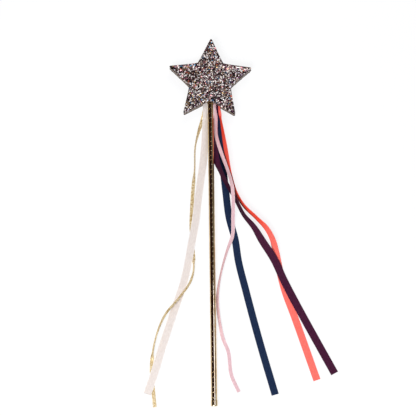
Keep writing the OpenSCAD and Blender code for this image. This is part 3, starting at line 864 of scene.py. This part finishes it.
def windFoil():
    bm = bmesh.new()
    pitch, lap, under = winding["pitch"], winding["lap"], winding["under"]
    profile = [(under + rise, pitch * p + lap * q) for rise, p, q in winding["profile"]]
    first = winding["start"] - pitch - lap
    verts = [bm.verts.new((r * mm, 0, (first + z) * mm)) for r, z in profile]
    edges = [bm.edges.new(pair) for pair in zip(verts, verts[1:])]
    turns = math.ceil((winding["end"] - first) / pitch) + 1
    steps = turns * winding["stepsPerTurn"]
    bmesh.ops.spin(bm, geom=verts + edges, cent=(0, 0, 0), axis=(0, 0, 1), angle=math.tau * turns,
                   steps=steps, dvec=(0, 0, pitch * mm / winding["stepsPerTurn"]), use_merge=False)
    for end, away in ((winding["start"], -1), (winding["end"], 1)):
        bmesh.ops.bisect_plane(bm, geom=bm.verts[:] + bm.edges[:] + bm.faces[:], plane_co=(0, 0, end * mm),
                               plane_no=(0, 0, away), clear_outer=True)
    for vert in bm.verts:
        past = (vert.co.z / mm - winding["calmFrom"]) / (winding["calmTo"] - winding["calmFrom"])
        calm = min(max(past, 0), 1) * winding["calm"]
        out = Vector((vert.co.x, vert.co.y, 0))
        rise = out.length - under * mm
        dent = noise.noise(vert.co * winding["dentScale"]) * winding["dent"] * mm
        vert.co += out.normalized() * (dent * (1 - calm) - rise * calm)
    bmesh.ops.reverse_faces(bm, faces=bm.faces[:])
    bmesh.ops.solidify(bm, geom=bm.faces[:], thickness=winding["thickness"] * mm)
    bmesh.ops.transform(bm, matrix=stickPlace, verts=bm.verts[:])
    addPiece("foilWinding", bm, foilFinish("woundFoil", winding), ("foil_wrap",),
             winding["sharpAngle"])


windFoil()

# foil folded over the tail; its profile is radius and place along the stick
tailCap = {
    "profile": ((3.06, 308.5), (3.13, 308.75), (3.1, 309.1), (3.09, 310.5), (3.1, 311.9), (3.11, 313.2),
                (3.05, 313.65), (2.8, 313.92), (2.17, 313.98), (1.24, 313.95), (0.15, 313.88), (0, 313.88)),
    "wall": 0.12, "segments": 56, "mergeWithin": 0.001, "pleats": 9, "pleat": 0.05, "pleatsFrom": 313.7,
    "dent": 0.04, "dentScale": 600, "sharpAngle": 50,
    "gold": "e8d0a4", "deep": "d4b484", "rough": 0.08, "fineness": 1.6, "bump": 0.4,
}


def foldCap():
    bm = bmesh.new()
    verts = [bm.verts.new((radius * mm, 0, z * mm)) for radius, z in tailCap["profile"]]
    edges = [bm.edges.new(pair) for pair in zip(verts, verts[1:])]
    bmesh.ops.spin(bm, geom=verts + edges, cent=(0, 0, 0), axis=(0, 0, 1), angle=math.tau,
                   steps=tailCap["segments"], dvec=(0, 0, 0), use_merge=True)
    bmesh.ops.remove_doubles(bm, verts=bm.verts[:], dist=tailCap["mergeWithin"] * mm)
    for vert in bm.verts:
        flat = Vector((vert.co.x, vert.co.y, 0))
        reach = flat.length / (stick["capRadius"] * mm)
        if vert.co.z > tailCap["pleatsFrom"] * mm:
            fold = math.cos(tailCap["pleats"] * math.atan2(vert.co.y, vert.co.x)) - 1
            vert.co.z += fold * tailCap["pleat"] * mm * reach
        else:
            dent = noise.noise(vert.co * tailCap["dentScale"]) * tailCap["dent"] * mm
            vert.co += flat.normalized() * dent
    bmesh.ops.recalc_face_normals(bm, faces=bm.faces[:])
    tip = max(bm.faces, key=lambda f: f.calc_center_median().z)
    if tip.normal.z < 0:
        bmesh.ops.reverse_faces(bm, faces=bm.faces[:])
    bmesh.ops.solidify(bm, geom=bm.faces[:], thickness=tailCap["wall"] * mm)
    bmesh.ops.transform(bm, matrix=stickPlace, verts=bm.verts[:])
    addPiece("tailFoilCap", bm, foilFinish("capFoil", tailCap), ("tail_cap",),
             tailCap["sharpAngle"])


foldCap()

# the bare stick inside
wood = {"tones": ((0.3, "a98556"), (0.7, "d8b98a")), "stretch": (900.0, 25.0, 900.0), "rough": 0.6,
        "bump": 0.3, "bumpDepth": 0.05}


def woodFinish():
    material, tree, shader = newFinish("stickWood", {"Roughness": wood["rough"]})
    place = put(tree, "ShaderNodeTexCoord").outputs["Object"]
    long = put(tree, "ShaderNodeMapping", {"Vector": place, "Scale": wood["stretch"]}).outputs[0]
    grain = put(tree, "ShaderNodeTexNoise", {"Vector": long, "Scale": 1.0, "Detail": 4.0}).outputs[0]
    tree.links.new(ramp(tree, grain, toneStops(wood["tones"])), shader.inputs["Base Color"])
    linkBump(tree, shader, wood["bump"], wood["bumpDepth"], grain)
    return material


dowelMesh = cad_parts["dowel"].data
dowelMesh.materials.clear()
dowelMesh.materials.append(woodFinish())
print("stick done")

# pale floor, two broad lamps, a cool strip lamp on the right; in reflections the room's left side and
# ceiling are dark and its two ends bright
studio = {
    "floorSize": 3.0, "floorDrop": 0.05, "floorTone": 0.85, "floorGlow": 0.8, "glow": 1.05,
    "fill": 0.2, "room": 0.2, "dark": "2a1a1c", "darkSide": (0.3, 0.55), "brightEnds": (0.7, 0.9),
    "lamps": (
        ("stripLamp", (420, -85, 850), (330, 310), 1.4, "c6d4ff"),
        ("nearLamp", (-350, -560, 760), (700, 500), 9.2, "ffffff"),
        ("farLamp", (200, 900, 620), (700, 400), 4.2, "ffffff")),
}


def setStage():
    bm = bmesh.new()
    bmesh.ops.create_grid(bm, x_segments=2, y_segments=2, size=studio["floorSize"] / 2)
    bmesh.ops.translate(bm, vec=(0, 0, -studio["floorDrop"] * mm), verts=bm.verts[:])
    mesh = bpy.data.meshes.new("floor")
    bm.to_mesh(mesh)
    bm.free()
    floor = bpy.data.objects.new("floor", mesh)
    scene.collection.objects.link(floor)
    material = bpy.data.materials.new("paleFloor")
    material.use_nodes = True
    tree = material.node_tree
    tree.nodes.remove(tree.nodes["Principled BSDF"])
    tone = studio["floorTone"]
    matt = put(tree, "ShaderNodeBsdfDiffuse", {"Color": (tone, tone, tone, 1)}).outputs[0]
    glow = put(tree, "ShaderNodeEmission", {"Color": (1, 1, 1, 1), "Strength": studio["glow"]}).outputs[0]
    path = put(tree, "ShaderNodeLightPath").outputs
    seen = calc(tree, "MAXIMUM", path["Is Camera Ray"], calc(
        tree, "MAXIMUM", path["Is Glossy Ray"], path["Is Transmission Ray"]))
    share = calc(tree, "MULTIPLY", seen, studio["floorGlow"])
    shown = put(tree, "ShaderNodeMixShader", {0: share, 1: matt, 2: glow}).outputs[0]
    tree.links.new(shown, tree.nodes["Material Output"].inputs["Surface"])
    mesh.materials.append(material)


def setWorld():
    world = bpy.data.worlds.new("studio")
    scene.world = world
    world.use_nodes = True
    tree = world.node_tree
    direction = put(tree, "ShaderNodeTexCoord").outputs["Generated"]
    across, depth = put(tree, "ShaderNodeSeparateXYZ", {0: direction}).outputs[:2]
    side = spanned(tree, across, *studio["darkSide"], 1.0, 0.0)
    ends = spanned(tree, calc(tree, "ABSOLUTE", depth), *studio["brightEnds"], 1.0, 0.0)
    mask = calc(tree, "MULTIPLY", side, ends)
    fill, room = ((v, v, v, 1) for v in (studio["fill"], studio["room"]))
    path = put(tree, "ShaderNodeLightPath").outputs
    light = mixed(tree, path["Is Glossy Ray"], fill, mixed(tree, mask, room, linear(studio["dark"])))
    background = tree.nodes["Background"]
    tree.links.new(mixed(tree, path["Is Camera Ray"], light, (1, 1, 1, 1)), background.inputs["Color"])


def setLamps():
    for name, place, size, power, tint in studio["lamps"]:
        data = bpy.data.lights.new(name, "AREA")
        data.shape, data.energy, data.color = "RECTANGLE", power, linear(tint)[:3]
        data.size, data.size_y = size[0] * mm, size[1] * mm
        lamp = bpy.data.objects.new(name, data)
        scene.collection.objects.link(lamp)
        spot = Vector(place) * mm
        turn = (-spot).to_track_quat("-Z", "Y").to_matrix().to_4x4()
        lamp.matrix_world = Matrix.Translation(spot) @ turn


setStage()
setWorld()
setLamps()
print("stage set")
